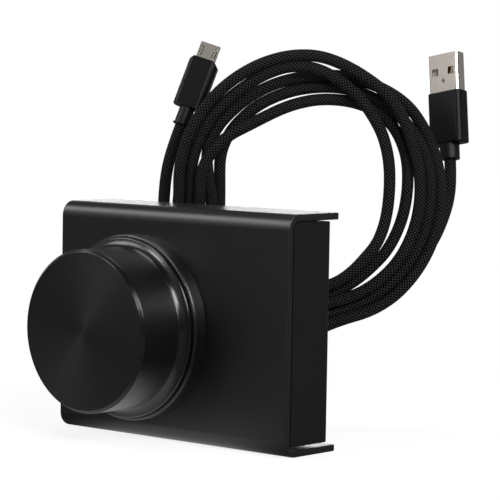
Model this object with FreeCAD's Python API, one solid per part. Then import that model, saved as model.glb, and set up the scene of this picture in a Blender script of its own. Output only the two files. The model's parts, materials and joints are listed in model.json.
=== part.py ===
import FreeCAD, Part
import math
import os

# USB volume control knob. Millimetres, +X along the width, +Y to the back, +Z up.
# Everything is drawn with the front panel's face at y = 0 and the case standing on z = 0.
# placed() then moves it so that the origin lies under the middle of the case and knob.

Vector = FreeCAD.Vector

# Front cover: one folded sheet, front panel with a top and a bottom flange
COVER_WIDTH = 98.4
COVER_HEIGHT = 75.6
COVER_DEPTH = 24.4
COVER_SHEET = 2.2
COVER_BEND = 4.8
SHEET_EDGE = 0.4

# Rear chassis: a folded tray, back panel with two deep end walls and two short flanges.
# Round seats pressed out of the flanges meet the cover at its screws.
CHASSIS_SHEET = 1.5
CHASSIS_BEND = 1.9
CHASSIS_CORNER = 1.5
FLANGE_OVERHANG = 2.9
END_INSET = 0.3
FRONT_SHUT_GAP = 0.6
TOP_SHUT_GAP = 0.35
BOTTOM_SHUT_GAP = 1.1
TRAY_FLANGE_DEPTH = 11.5
SEAT_RADIUS = 5.4
SEAT_HOLLOW = 3.6

# Cover screws, countersunk M3, and the clinch nuts that they go into
SCREW_FROM_REAR = 8.6
SCREW_RADIUS = 1.5
SCREW_HEAD_RADIUS = 2.8
SCREW_HEAD_HEIGHT = 1.5
SCREW_LENGTH = 6.0
SCREW_RECESS_SPAN = 3.0
SCREW_RECESS_WIDTH = 0.7
SCREW_RECESS_DEPTH = 1.0
NUT_RADIUS = 2.7
NUT_SHOULDER = 0.5
NUT_HEIGHT = 1.8
THREAD_GAP = 0.05
HOLE_GAP = 0.2

# Knob, turned about an axis along Y
KNOB_FROM_LEFT = 34.7
KNOB_AXIS_HEIGHT = 36.2
KNOB_FACE_REACH = 24.9
KNOB_RADIUS = 26.2
KNOB_BEVEL = 1.0
KNOB_BEVEL_ROUNDING = 0.25
KNOB_WALL = 2.6
KNOB_FACE_SHEET = 2.4
SKIRT_RADIUS = 29.2
SKIRT_LIP = 0.8
SKIRT_ROUNDING = 0.5
FLARE_LENGTH = 2.0
FLARE_HOLLOW = 0.5
SKIRT_GAP = 0.8
PUSH_TRAVEL = 0.5

# Base ring, a shallow dish held under the encoder's nut
RING_RADIUS = 30.2
RING_HEIGHT = 4.9
RING_WALL = 2.6
RING_FLOOR = 1.5
RING_ROUNDING = 0.8

# Knob hub, the plastic insert between shaft and shell
HUB_DISC = 2.5
HUB_RIM_WALL = 1.8
HUB_RIM_DEPTH = 9.0
HUB_RIB_DEPTH = 5.4
HUB_BOSS_RADIUS = 5.6
HUB_REAR_GAP = 2.4
HUB_RIB = 1.4
HUB_RIBS = 6
PRESS_GAP = 0.02

# Rotary encoder with push switch
BUSHING_RADIUS = 3.5
BUSHING_LENGTH = 7.0
FRAME_SHEET = 0.4
FRAME_LEG_WIDTH = 8.0
HOUSING_SHEET = 2.1
ENCODER_SIZE = 12.0
ENCODER_BASE = 4.0
SHAFT_RADIUS = 3.0
SHAFT_REACH = 17.5
SHAFT_FLAT = 1.5
FLAT_TO_BUSHING = 1.2
RUNNING_GAP = 0.05
TAIL_RADIUS = 2.4
TAIL_FLAT = 1.8
ROTOR_RADIUS = 4.6
ROTOR_SHEET = 1.6
ROTOR_GAP = 0.15
SPRING_SHEET = 0.12
SPRING_WIDTH = 1.2
BASE_FLOOR = 0.6
DOME_RADIUS = 2.4
DOME_HEIGHT = 0.8
DOME_SHEET = 0.15
WASHER_RADIUS = 5.5
WASHER_SHEET = 0.5
HEX_NUT_FLATS = 10.0
HEX_NUT_HEIGHT = 2.0
PIN_WIDTH = 0.8
PIN_SHEET = 0.3
PIN_PITCH = 2.5
PIN_START = 1.5
PIN_BEYOND_BOARD = 1.0
LUG_WIDTH = 2.0

# Main board, on standoffs clinched in the front panel
BOARD_WIDTH = 84.0
BOARD_HEIGHT = 60.0
BOARD_SHEET = 1.6
BOARD_BEHIND_ENCODER = 0.2
BOARD_CORNER = 2.0
STANDOFF_INSET = 4.0
STANDOFF_RADIUS = 2.5
BOARD_SCREW_RADIUS = 1.2
BOARD_SCREW_HEAD = 2.3
BOARD_SCREW_HEAD_HEIGHT = 1.6
BOARD_SCREW_ROUNDING = 0.8
BOARD_SCREW_LENGTH = 5.0

# Micro-USB socket, upright on the board, its mouth in the back panel
SOCKET_X = 22.0
SOCKET_Z = 22.0
SOCKET_WIDTH = 6.9
SOCKET_HEIGHT = 1.85
SOCKET_SHELL = 0.3
SOCKET_CHAMFER = 0.7
SOCKET_MOUTH_INSET = 0.3
SOCKET_BLOCK = 4.2
TONGUE_WIDTH = 3.7
TONGUE_SHEET = 0.6
TONGUE_MOUTH_GAP = 0.8
CONTACT_MOUTH_GAP = 1.2
PORT_GAP = 0.8
PORT_CORNER = 1.2
CONTACT_COUNT = 5
CONTACT_PITCH = 0.65
CONTACT_WIDTH = 0.35
CONTACT_SHEET = 0.1

# Parts soldered on the board's rear face
CHIP_SIZE = 7.0
CHIP_SHEET = 1.2
CHIP_X = 4.0
CHIP_Z = 44.0
LEADS_PER_SIDE = 8
LEAD_PITCH = 0.8
LEAD_WIDTH = 0.35
LEAD_LENGTH = 1.0
LEAD_SHEET = 0.2
CRYSTAL_SIZE = (5.0, 3.2, 1.0)
CAPACITOR_SIZE = (2.0, 1.25, 1.0)
RESISTOR_SIZE = (1.6, 0.8, 0.5)
PART_PITCH = 3.6
CAPACITORS = 4
RESISTORS = 6

# USB cable: round, braided
CABLE_RADIUS = 2.0
BEND_SHARE = 0.45

# Coil: a loose, upright ring behind the case. It stands on its lowest turn
# and leans on the rear edge of the top flange.
COIL_YAW = 40.6
COIL_LEAN = 3.0
COIL_CENTRE_HEIGHT = 80.7
COIL_THICKNESS = 11.0
COIL_EDGE = 3.4
COIL_SEAT_X = -28.3
COIL_SEAT_U = -53.2
COIL_SEAT_GAP = 0.1
COIL_FLOOR_GAP = 0.1
# outlines in the coil's own plane, (right, up) from its centre; the outer one's
# lowest point is the foot, which is worked out from the centre's height
COIL_OUTER_RIGHT = [(5.1, -48.1), (16.8, -46.0), (29.7, -37.3), (40.8, -20.4), (44.0, -3.0),
                    (40.9, 12.4), (35.0, 27.2), (21.1, 37.5), (4.0, 45.5), (-12.4, 46.0),
                    (-28.8, 36.8), (-38.4, 24.6), (-45.2, 11.0), (COIL_SEAT_U, -6.0),
                    (-55.0, -24.0), (-53.0, -47.0), (-44.0, -72.0)]
COIL_OUTER_LEFT = [(-16.5, -72.0), (-5.0, -56.0)]
COIL_FOOT_U = -30.0
COIL_INNER = [(5.4, -30.5), (16.9, -21.8), (22.9, -7.3), (22.9, 5.8), (16.6, 22.4), (4.2, 27.7),
              (-12.0, 24.0), (-26.3, 14.6), (-30.7, -4.0), (-31.5, -26.0), (-24.0, -42.0), (-9.0, -39.0)]

# Free stretches of the cable, (right, up, forward) in the coil's frame,
# from the end of each plug's sleeve into the coil
MICRO_LEAD = [(-46.2, 20.1, -8.0), (-48.9, 12.6, -6.0), (-50.9, 4.4, -5.2), (-51.6, -4.8, -4.2),
              (-51.6, -14.0, -2.6)]
USB_A_LEAD = [(45.4, 9.9, -9.0), (45.7, 2.9, -6.9), (45.0, -4.4, -6.4), (42.9, -11.2, -5.4),
              (39.8, -18.0, -3.8)]

# Micro-USB plug
MICRO_TURN = -6.0
MICRO_SLEEVE_LENGTH = 6.3
MICRO_SLEEVE_RADIUS = 2.6
MICRO_SLEEVE_LIP = 0.4
MICRO_BODY = (10.2, 6.6, 17.4)
MICRO_BODY_CHAMFER = 1.5
MICRO_BODY_EDGE = 2.2
MICRO_SHELL_WIDTH = 6.85
MICRO_SHELL_HEIGHT = 1.8
MICRO_SHELL_LENGTH = 5.9
PLUG_SHEET = 0.25
MICRO_INSERT_SHEET = 1.0
LATCH_WIDTH = 0.7
LATCH_LENGTH = 2.8
LATCH_SPACING = 4.8
LATCH_GAP = 0.25

# USB-A plug
USB_A_TURN = -40.0
USB_A_SLEEVE_LENGTH = 5.1
USB_A_SLEEVE_RADIUS = 3.4
USB_A_BODY = (13.3, 6.5, 18.1)
USB_A_BODY_EDGE = 1.8
USB_A_BODY_END_EDGE = 0.45
USB_A_SHELL_WIDTH = 12.0
USB_A_SHELL_HEIGHT = 4.5
USB_A_SHELL_LENGTH = 13.3
USB_A_SHELL_CORNER = 0.6
USB_A_SHELL_SHEET = 0.3
WINDOW_WIDTH = 2.4
WINDOW_LENGTH = 2.6
WINDOW_SPACING = 6.4
WINDOW_FROM_TIP = 6.2
DIMPLE_RADIUS = 0.75
DIMPLE_FROM_TIP = 9.4
USB_A_INSERT_SHEET = 1.9
USB_A_CONTACTS = 4
USB_A_CONTACT_PITCH = 2.3
USB_A_CONTACT_WIDTH = 1.0
USB_A_CONTACT_LENGTH = 7.5

# Places that follow from the sizes above
PANEL_Y = (KNOB_FACE_REACH - COVER_DEPTH) / 2
KNOB_X = KNOB_FROM_LEFT - COVER_WIDTH / 2
BACK_Y = COVER_DEPTH - FLANGE_OVERHANG
BACK_INNER_Y = BACK_Y - CHASSIS_SHEET
CHASSIS_HALF = COVER_WIDTH / 2 - END_INSET
CHASSIS_BOTTOM = COVER_SHEET + BOTTOM_SHUT_GAP
CHASSIS_TOP = COVER_HEIGHT - COVER_SHEET - TOP_SHUT_GAP
SCREW_Y = COVER_DEPTH - SCREW_FROM_REAR
SKIRT_REACH = RING_HEIGHT + SKIRT_GAP
HOUSING_Y = COVER_SHEET + FRAME_SHEET
BASE_Y = HOUSING_Y + HOUSING_SHEET
ENCODER_REAR_Y = BASE_Y + ENCODER_BASE
ROTOR_Y = BASE_Y + SPRING_SHEET + ROTOR_GAP
CAVITY_REAR_Y = ROTOR_Y + ROTOR_SHEET + ROTOR_GAP
DOME_Y = ENCODER_REAR_Y - BASE_FLOOR
TAIL_END_Y = DOME_Y - DOME_HEIGHT - RUNNING_GAP
SHOULDER_Y = ROTOR_Y - PUSH_TRAVEL - ROTOR_GAP
BOARD_Y = ENCODER_REAR_Y + BOARD_BEHIND_ENCODER
BOARD_REAR_Y = BOARD_Y + BOARD_SHEET
BOARD_Z = COVER_HEIGHT / 2
HUB_RADIUS = KNOB_RADIUS - KNOB_WALL - PRESS_GAP
HUB_FRONT_REACH = KNOB_FACE_REACH - KNOB_FACE_SHEET
HUB_REAR_REACH = BUSHING_LENGTH - COVER_SHEET + HUB_REAR_GAP


def box(x0, x1, y0, y1, z0, z1):
    return Part.makeBox(x1 - x0, y1 - y0, z1 - z0, Vector(x0, y0, z0))


def centred_box(width, depth, height, centre):
    corner = centre - Vector(width / 2, depth / 2, height / 2)
    return Part.makeBox(width, depth, height, corner)


def rod(radius, y0, y1, x=0.0, z=0.0):
    """Round bar along Y."""
    return Part.makeCylinder(radius, y1 - y0, Vector(x, y0, z), Vector(0, 1, 0))


def post(radius, z0, z1, x, y):
    """Round bar along Z."""
    return Part.makeCylinder(radius, z1 - z0, Vector(x, y, z0), Vector(0, 0, 1))


def polygon_face(points):
    return Part.Face(Part.makePolygon(points + [points[0]]))


def turned(profile):
    """Solid of revolution about the Y axis from (radius, y) points."""
    face = polygon_face([Vector(radius, y, 0) for radius, y in profile])
    return face.revolve(Vector(0, 0, 0), Vector(0, 1, 0), 360)


def at_knob(shape):
    """From the knob's own axis to its place on the panel."""
    shape.translate(Vector(KNOB_X, 0, KNOB_AXIS_HEIGHT))
    return shape


def edges_along(shape, direction, test=lambda edge: True):
    """Straight edges parallel to a direction that also pass a test."""
    found = []
    for edge in shape.Edges:
        if not isinstance(edge.Curve, Part.Line):
            continue
        if abs(abs(edge.tangentAt(edge.FirstParameter).dot(direction)) - 1) < 1e-6 and test(edge):
            found.append(edge)
    return found


def rounded_rectangle(width, height, corner, y0, y1, x=0.0, z=0.0):
    """Bar along Y with a rounded rectangular section."""
    bar = box(x - width / 2, x + width / 2, y0, y1, z - height / 2, z + height / 2)
    return bar.makeFillet(corner, edges_along(bar, Vector(0, 1, 0)))


# ---------------------------------------------------------------- case

def cover_block(offset):
    """The cover's outline, filled in, with every surface moved in by offset."""
    block = box(-COVER_WIDTH / 2, COVER_WIDTH / 2, offset, COVER_DEPTH + 1,
                offset, COVER_HEIGHT - offset)
    bends = edges_along(block, Vector(1, 0, 0), lambda edge: edge.Vertexes[0].Y < COVER_SHEET + 1)
    return block.makeFillet(COVER_BEND - offset, bends)


def countersink(up):
    """Room for a countersunk head in the top flange (up = 1) or the bottom one (up = -1)."""
    surface = COVER_HEIGHT if up > 0 else 0.0
    radius = SCREW_HEAD_RADIUS + HOLE_GAP
    cone = Part.makeCone(SCREW_RADIUS + HOLE_GAP, radius, SCREW_HEAD_HEIGHT,
                         Vector(0, SCREW_Y, surface - up * SCREW_HEAD_HEIGHT), Vector(0, 0, up))
    hole = Part.makeCylinder(SCREW_RADIUS + HOLE_GAP, COVER_SHEET + 2,
                             Vector(0, SCREW_Y, surface - up * (COVER_SHEET + 1)), Vector(0, 0, up))
    return cone.fuse(hole)


def front_cover():
    shell = cover_block(0).cut(cover_block(COVER_SHEET))
    shell = shell.cut(box(-COVER_WIDTH, COVER_WIDTH, COVER_DEPTH, COVER_DEPTH + 2, -1, COVER_HEIGHT + 1))
    ends = [edge for edge in shell.Edges
            if all(abs(abs(vertex.X) - COVER_WIDTH / 2) < 1e-6 for vertex in edge.Vertexes)]
    rears = edges_along(shell, Vector(1, 0, 0), lambda edge: edge.Vertexes[0].Y > COVER_DEPTH - 1e-6)
    shell = shell.makeFillet(SHEET_EDGE, ends + rears)
    bushing = at_knob(rod(BUSHING_RADIUS + HOLE_GAP, -1, COVER_SHEET + 1))
    return shell.cut([bushing, countersink(1), countersink(-1)])


def flange_seat(up):
    """Round seat pressed out of a tray flange to meet the cover, and the hollow behind it."""
    inner = COVER_HEIGHT - COVER_SHEET if up > 0 else COVER_SHEET
    gap = TOP_SHUT_GAP if up > 0 else BOTTOM_SHUT_GAP
    outward = Vector(0, 0, up)
    seat = Part.makeCylinder(SEAT_RADIUS, gap + CHASSIS_SHEET,
                             Vector(0, SCREW_Y, inner - up * (gap + CHASSIS_SHEET)), outward)
    hollow = Part.makeCylinder(SEAT_HOLLOW, gap + 1,
                               Vector(0, SCREW_Y, inner - up * (CHASSIS_SHEET + gap + 1)), outward)
    hole = post(NUT_RADIUS - NUT_SHOULDER, -1, COVER_HEIGHT + 1, 0, SCREW_Y)
    return seat, hollow.fuse(hole.common(seat))


def port_opening():
    width = SOCKET_WIDTH + 2 * (SOCKET_SHELL + PORT_GAP)
    height = SOCKET_HEIGHT + 2 * (SOCKET_SHELL + PORT_GAP)
    return rounded_rectangle(width, height, PORT_CORNER, BACK_INNER_Y - 1, BACK_Y + 1, SOCKET_X, SOCKET_Z)


def rear_chassis():
    front = COVER_SHEET + FRONT_SHUT_GAP
    outer = box(-CHASSIS_HALF, CHASSIS_HALF, front, BACK_Y, CHASSIS_BOTTOM, CHASSIS_TOP)
    rears = [edge for edge in outer.Edges if all(vertex.Y > BACK_Y - 1e-6 for vertex in edge.Vertexes)]
    outer = outer.makeFillet(CHASSIS_BEND, rears)
    fronts = edges_along(outer, Vector(1, 0, 0), lambda edge: edge.Vertexes[0].Y < front + 1e-6)
    outer = outer.makeFillet(CHASSIS_CORNER, fronts)
    inner_half = CHASSIS_HALF - CHASSIS_SHEET
    room = box(-inner_half, inner_half, front - 1, BACK_INNER_Y,
               CHASSIS_BOTTOM + CHASSIS_SHEET, CHASSIS_TOP - CHASSIS_SHEET)
    rears = [edge for edge in room.Edges if all(vertex.Y > BACK_INNER_Y - 1e-6 for vertex in edge.Vertexes)]
    room = room.makeFillet(CHASSIS_BEND - CHASSIS_SHEET, rears)
    open_front = box(-inner_half, inner_half, front - 1, BACK_INNER_Y - TRAY_FLANGE_DEPTH,
                     CHASSIS_BOTTOM - 1, CHASSIS_TOP + 1)
    tray = outer.cut([room, open_front])
    for up in (1, -1):
        seat, hollow = flange_seat(up)
        tray = tray.fuse(seat).cut(hollow)
    return tray.cut(port_opening()).removeSplitter()


def cover_screw(up):
    surface = COVER_HEIGHT if up > 0 else 0.0
    head_z = surface - up * SCREW_HEAD_HEIGHT
    outward = Vector(0, 0, up)
    head = Part.makeCone(SCREW_RADIUS, SCREW_HEAD_RADIUS, SCREW_HEAD_HEIGHT,
                         Vector(0, SCREW_Y, head_z), outward)
    tip = Vector(0, SCREW_Y, surface - up * SCREW_LENGTH)
    shank = Part.makeCylinder(SCREW_RADIUS, SCREW_LENGTH - SCREW_HEAD_HEIGHT, tip, outward)
    floor_z = surface - up * SCREW_RECESS_DEPTH
    slots = []
    for turn in (0, 90):
        slot = centred_box(SCREW_RECESS_SPAN, SCREW_RECESS_WIDTH, 2 * SCREW_RECESS_DEPTH, Vector(0, 0, 0))
        slot.rotate(Vector(0, 0, 0), Vector(0, 0, 1), turn)
        slot.translate(Vector(0, SCREW_Y, floor_z + up * SCREW_RECESS_DEPTH))
        slots.append(slot)
    return head.fuse(shank).cut(slots).removeSplitter()


def clinch_nut(up):
    """Nut pressed into a tab from inside the case, its collar in the tab's hole."""
    inner = COVER_HEIGHT - COVER_SHEET if up > 0 else COVER_SHEET
    collar = Part.makeCylinder(NUT_RADIUS - NUT_SHOULDER, CHASSIS_SHEET,
                               Vector(0, SCREW_Y, inner - up * CHASSIS_SHEET), Vector(0, 0, up))
    body = Part.makeCylinder(NUT_RADIUS, NUT_HEIGHT,
                             Vector(0, SCREW_Y, inner - up * (CHASSIS_SHEET + NUT_HEIGHT)), Vector(0, 0, up))
    thread = post(SCREW_RADIUS + THREAD_GAP, -1, COVER_HEIGHT + 1, 0, SCREW_Y)
    return collar.fuse(body).cut(thread).removeSplitter()


# ---------------------------------------------------------------- dial

def rims(shape, radius, y):
    """Circular edges about the Y axis, of one radius and at one place along it."""
    found = []
    for edge in shape.Edges:
        if isinstance(edge.Curve, Part.Circle) and abs(edge.Curve.Radius - radius) < 1e-4:
            if abs(edge.Curve.Center.y - y) < 1e-4:
                found.append(edge)
    return found


def base_ring():
    inner = RING_RADIUS - RING_WALL
    bore = BUSHING_RADIUS + HOLE_GAP
    ring = turned([(bore, 0), (RING_RADIUS, 0), (RING_RADIUS, -RING_HEIGHT), (inner, -RING_HEIGHT),
                   (inner, -RING_FLOOR), (bore, -RING_FLOOR)])
    return at_knob(ring.makeFillet(RING_ROUNDING, rims(ring, RING_RADIUS, -RING_HEIGHT)))


def knob_shell():
    """Closed front with a bevelled edge, straight wall, and a skirt that flares out at the rear."""
    front = -KNOB_FACE_REACH
    rear = -SKIRT_REACH
    skirt_front = rear - SKIRT_LIP
    flare_start = skirt_front - FLARE_LENGTH
    inner = KNOB_RADIUS - KNOB_WALL
    flare = SKIRT_RADIUS - KNOB_RADIUS
    chord = Vector(flare, FLARE_LENGTH, 0)
    middle = Vector(KNOB_RADIUS + flare / 2, flare_start + FLARE_LENGTH / 2, 0)
    middle += Vector(-FLARE_LENGTH, flare, 0) * (FLARE_HOLLOW / chord.Length)
    corners = [Vector(SKIRT_RADIUS, skirt_front, 0), Vector(SKIRT_RADIUS, rear, 0), Vector(inner, rear, 0),
               Vector(inner, front + KNOB_FACE_SHEET, 0), Vector(0, front + KNOB_FACE_SHEET, 0),
               Vector(0, front, 0), Vector(KNOB_RADIUS - KNOB_BEVEL, front, 0),
               Vector(KNOB_RADIUS, front + KNOB_BEVEL, 0), Vector(KNOB_RADIUS, flare_start, 0)]
    outline = [Part.LineSegment(a, b) for a, b in zip(corners, corners[1:])]
    outline.append(Part.Arc(corners[-1], middle, corners[0]))
    face = Part.Face(Part.Wire([curve.toShape() for curve in outline]))
    knob = face.revolve(Vector(0, 0, 0), Vector(0, 1, 0), 360)
    bevel = rims(knob, KNOB_RADIUS - KNOB_BEVEL, front) + rims(knob, KNOB_RADIUS, front + KNOB_BEVEL)
    knob = knob.makeFillet(KNOB_BEVEL_ROUNDING, bevel)
    return at_knob(knob.makeFillet(SKIRT_ROUNDING, rims(knob, SKIRT_RADIUS, skirt_front)))


def shaft_section(radius, flat, y0, y1):
    """Round bar with one flat on its upper side."""
    return rod(radius, y0, y1).cut(box(-radius - 1, radius + 1, y0 - 1, y1 + 1, flat, radius + 1))


def knob_hub():
    disc_rear = -HUB_FRONT_REACH + HUB_DISC
    rear = -HUB_REAR_REACH
    disc = rod(HUB_RADIUS, -HUB_FRONT_REACH, disc_rear)
    boss = rod(HUB_BOSS_RADIUS, disc_rear, rear)
    rim = rod(HUB_RADIUS, disc_rear, disc_rear + HUB_RIM_DEPTH)
    rim = rim.cut(rod(HUB_RADIUS - HUB_RIM_WALL, disc_rear - 1, disc_rear + HUB_RIM_DEPTH + 1))
    ribs = []
    for i in range(HUB_RIBS):
        rib = box(HUB_BOSS_RADIUS - 1, HUB_RADIUS - HUB_RIM_WALL / 2, disc_rear, disc_rear + HUB_RIB_DEPTH,
                  -HUB_RIB / 2, HUB_RIB / 2)
        rib.rotate(Vector(0, 0, 0), Vector(0, 1, 0), 360 / HUB_RIBS * (i + 0.5))
        ribs.append(rib)
    bore = shaft_section(SHAFT_RADIUS + PRESS_GAP, SHAFT_FLAT + PRESS_GAP, -SHAFT_REACH - HOLE_GAP, rear + 1)
    return at_knob(disc.fuse([boss, rim] + ribs).cut(bore).removeSplitter())


# ---------------------------------------------------------------- encoder

def encoder_frame():
    half = ENCODER_SIZE / 2 + FRAME_SHEET
    plate = box(-half, half, COVER_SHEET, HOUSING_Y, -ENCODER_SIZE / 2, ENCODER_SIZE / 2)
    legs = []
    for side in (-1, 1):
        x0, x1 = sorted((side * ENCODER_SIZE / 2, side * half))
        legs.append(box(x0, x1, HOUSING_Y, ENCODER_REAR_Y, -FRAME_LEG_WIDTH / 2, FRAME_LEG_WIDTH / 2))
        legs.append(box(x0, x1, ENCODER_REAR_Y, BOARD_REAR_Y + PIN_BEYOND_BOARD,
                        -LUG_WIDTH / 2, LUG_WIDTH / 2))
    hole = rod(BUSHING_RADIUS + THREAD_GAP, 0, HOUSING_Y + 1)
    return at_knob(plate.fuse(legs).cut(hole).removeSplitter())


def encoder_housing():
    half = ENCODER_SIZE / 2
    plate = box(-half, half, HOUSING_Y, BASE_Y, -half, half)
    bushing = rod(BUSHING_RADIUS, COVER_SHEET - BUSHING_LENGTH, HOUSING_Y)
    bore = rod(SHAFT_RADIUS + RUNNING_GAP, -BUSHING_LENGTH - 1, BASE_Y + 1)
    return at_knob(plate.fuse(bushing).cut(bore).removeSplitter())


def encoder_base():
    half = ENCODER_SIZE / 2
    block = box(-half, half, BASE_Y, ENCODER_REAR_Y, -half, half)
    cavity = rod(ROTOR_RADIUS + ROTOR_GAP, BASE_Y - 1, CAVITY_REAR_Y)
    well = rod(DOME_RADIUS + ROTOR_GAP, CAVITY_REAR_Y - 1, DOME_Y)
    return at_knob(block.cut([cavity, well]))


def detent_spring():
    ring = rod(ROTOR_RADIUS, BASE_Y, BASE_Y + SPRING_SHEET)
    return at_knob(ring.cut(rod(ROTOR_RADIUS - SPRING_WIDTH, BASE_Y - 1, BASE_Y + 1)))


def tail_section(gap, y0, y1):
    """Round bar with two flats, which turns the rotor and slides in it."""
    flat = TAIL_FLAT + gap
    return rod(TAIL_RADIUS + gap, y0, y1).common(box(-5, 5, y0 - 1, y1 + 1, -flat, flat))


def encoder_rotor():
    rear = ROTOR_Y + ROTOR_SHEET
    return at_knob(rod(ROTOR_RADIUS, ROTOR_Y, rear).cut(tail_section(RUNNING_GAP, ROTOR_Y - 1, rear + 1)))


def encoder_shaft():
    round_end = -BUSHING_LENGTH + COVER_SHEET
    front = shaft_section(SHAFT_RADIUS, SHAFT_FLAT, -SHAFT_REACH, round_end - FLAT_TO_BUSHING)
    middle = rod(SHAFT_RADIUS, round_end - FLAT_TO_BUSHING, SHOULDER_Y)
    tail = tail_section(0, SHOULDER_Y, TAIL_END_Y)
    return at_knob(front.fuse([middle, tail]).removeSplitter())


def dome_arc(radius, height, y):
    """Half of a dome's section, from its rim to its top."""
    ball = (radius ** 2 + height ** 2) / (2 * height)
    half_angle = math.asin(radius / ball) / 2
    middle = Vector(ball * math.sin(half_angle), y - height + ball - ball * math.cos(half_angle), 0)
    return Part.Arc(Vector(radius, y, 0), middle, Vector(0, y - height, 0))


def switch_dome():
    inner_radius = DOME_RADIUS - 2 * DOME_SHEET
    inner_height = DOME_HEIGHT - DOME_SHEET
    outline = [
        dome_arc(DOME_RADIUS, DOME_HEIGHT, DOME_Y),
        Part.LineSegment(Vector(0, DOME_Y - DOME_HEIGHT, 0), Vector(0, DOME_Y - inner_height, 0)),
        dome_arc(inner_radius, inner_height, DOME_Y),
        Part.LineSegment(Vector(inner_radius, DOME_Y, 0), Vector(DOME_RADIUS, DOME_Y, 0)),
    ]
    wire = Part.Wire(Part.__sortEdges__([curve.toShape() for curve in outline]))
    return at_knob(Part.Face(wire).revolve(Vector(0, 0, 0), Vector(0, 1, 0), 360))


def pin_places():
    """Centres of the five solder pins: three below the encoder, two above it."""
    offset = ENCODER_SIZE / 2 + PIN_SHEET / 2
    below = [(i * PIN_PITCH, -offset) for i in (-1, 0, 1)]
    above = [(i * PIN_PITCH, offset) for i in (-1, 1)]
    return below + above


def encoder_pins():
    pins = []
    for x, z in pin_places():
        pins.append(box(x - PIN_WIDTH / 2, x + PIN_WIDTH / 2, BASE_Y + PIN_START,
                        BOARD_REAR_Y + PIN_BEYOND_BOARD, z - PIN_SHEET / 2, z + PIN_SHEET / 2))
    return at_knob(Part.makeCompound(pins))


def encoder_washer():
    front = -RING_FLOOR - WASHER_SHEET
    ring = rod(WASHER_RADIUS, front, -RING_FLOOR)
    return at_knob(ring.cut(rod(BUSHING_RADIUS + HOLE_GAP, front - 1, 0)))


def hexagon(flats, y0, y1):
    """Six-sided bar along Y."""
    reach = flats / 2 / math.cos(math.radians(30))
    points = [Vector(reach * math.cos(math.radians(60 * i)), y0, reach * math.sin(math.radians(60 * i)))
              for i in range(6)]
    return polygon_face(points).extrude(Vector(0, y1 - y0, 0))


def encoder_nut():
    rear = -RING_FLOOR - WASHER_SHEET
    nut = hexagon(HEX_NUT_FLATS, rear - HEX_NUT_HEIGHT, rear)
    return at_knob(nut.cut(rod(BUSHING_RADIUS + THREAD_GAP, rear - HEX_NUT_HEIGHT - 1, rear + 1)))


# ---------------------------------------------------------------- board

def standoff_places():
    half_x = BOARD_WIDTH / 2 - STANDOFF_INSET
    half_z = BOARD_HEIGHT / 2 - STANDOFF_INSET
    return [(x, BOARD_Z + z) for x in (-half_x, half_x) for z in (-half_z, half_z)]


def main_board():
    board = rounded_rectangle(BOARD_WIDTH, BOARD_HEIGHT, BOARD_CORNER, BOARD_Y, BOARD_REAR_Y, 0, BOARD_Z)
    holes = [rod(BOARD_SCREW_RADIUS + HOLE_GAP, BOARD_Y - 1, BOARD_REAR_Y + 1, x, z)
             for x, z in standoff_places()]
    for x, z in pin_places():
        holes.append(at_knob(rod(PIN_WIDTH / 2 + HOLE_GAP, BOARD_Y - 1, BOARD_REAR_Y + 1, x, z)))
    for side in (-1, 1):
        x = side * (ENCODER_SIZE / 2 + FRAME_SHEET / 2)
        slot = centred_box(FRAME_SHEET + 2 * HOLE_GAP, 2 * BOARD_REAR_Y, LUG_WIDTH + 2 * HOLE_GAP,
                           Vector(x, BOARD_REAR_Y, 0))
        holes.append(at_knob(slot))
    return board.cut(holes)


def board_standoffs():
    posts = []
    for x, z in standoff_places():
        bottom = BOARD_REAR_Y - BOARD_SCREW_LENGTH - HOLE_GAP
        bore = rod(BOARD_SCREW_RADIUS + THREAD_GAP, bottom, BOARD_Y + 1, x, z)
        posts.append(rod(STANDOFF_RADIUS, COVER_SHEET, BOARD_Y, x, z).cut(bore))
    return Part.makeCompound(posts)


def board_screws():
    screws = []
    for x, z in standoff_places():
        head = rod(BOARD_SCREW_HEAD, BOARD_REAR_Y, BOARD_REAR_Y + BOARD_SCREW_HEAD_HEIGHT, x, z)
        tops = [edge for edge in head.Edges if edge.BoundBox.YMin > BOARD_REAR_Y + BOARD_SCREW_ROUNDING]
        head = head.makeFillet(BOARD_SCREW_ROUNDING, tops)
        shank = rod(BOARD_SCREW_RADIUS, BOARD_REAR_Y - BOARD_SCREW_LENGTH, BOARD_REAR_Y, x, z)
        screws.append(head.fuse(shank).removeSplitter())
    return Part.makeCompound(screws)


def trapezoid(width, height, chamfer, y0, y1):
    """Bar along Y with the micro-USB outline: a rectangle with its two lower corners cut."""
    half = width / 2
    low = -height / 2
    high = height / 2
    points = [(-half, high), (half, high), (half, low + chamfer), (half - chamfer, low),
              (-half + chamfer, low), (-half, low + chamfer)]
    return polygon_face([Vector(x, y0, z) for x, z in points]).extrude(Vector(0, y1 - y0, 0))


def at_socket(shape):
    shape.translate(Vector(SOCKET_X, 0, SOCKET_Z))
    return shape


def usb_socket_shell():
    mouth = BACK_Y - SOCKET_MOUTH_INSET
    outer = trapezoid(SOCKET_WIDTH + 2 * SOCKET_SHELL, SOCKET_HEIGHT + 2 * SOCKET_SHELL, SOCKET_CHAMFER,
                      BOARD_REAR_Y, mouth)
    inner = trapezoid(SOCKET_WIDTH, SOCKET_HEIGHT, SOCKET_CHAMFER, BOARD_REAR_Y - 1, mouth + 1)
    return at_socket(outer.cut(inner))


def usb_socket_insert():
    mouth = BACK_Y - SOCKET_MOUTH_INSET
    block = trapezoid(SOCKET_WIDTH, SOCKET_HEIGHT, SOCKET_CHAMFER, BOARD_REAR_Y, BOARD_REAR_Y + SOCKET_BLOCK)
    tongue = box(-TONGUE_WIDTH / 2, TONGUE_WIDTH / 2, BOARD_REAR_Y, mouth - TONGUE_MOUTH_GAP, 0, TONGUE_SHEET)
    return at_socket(block.fuse(tongue).removeSplitter())


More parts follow.
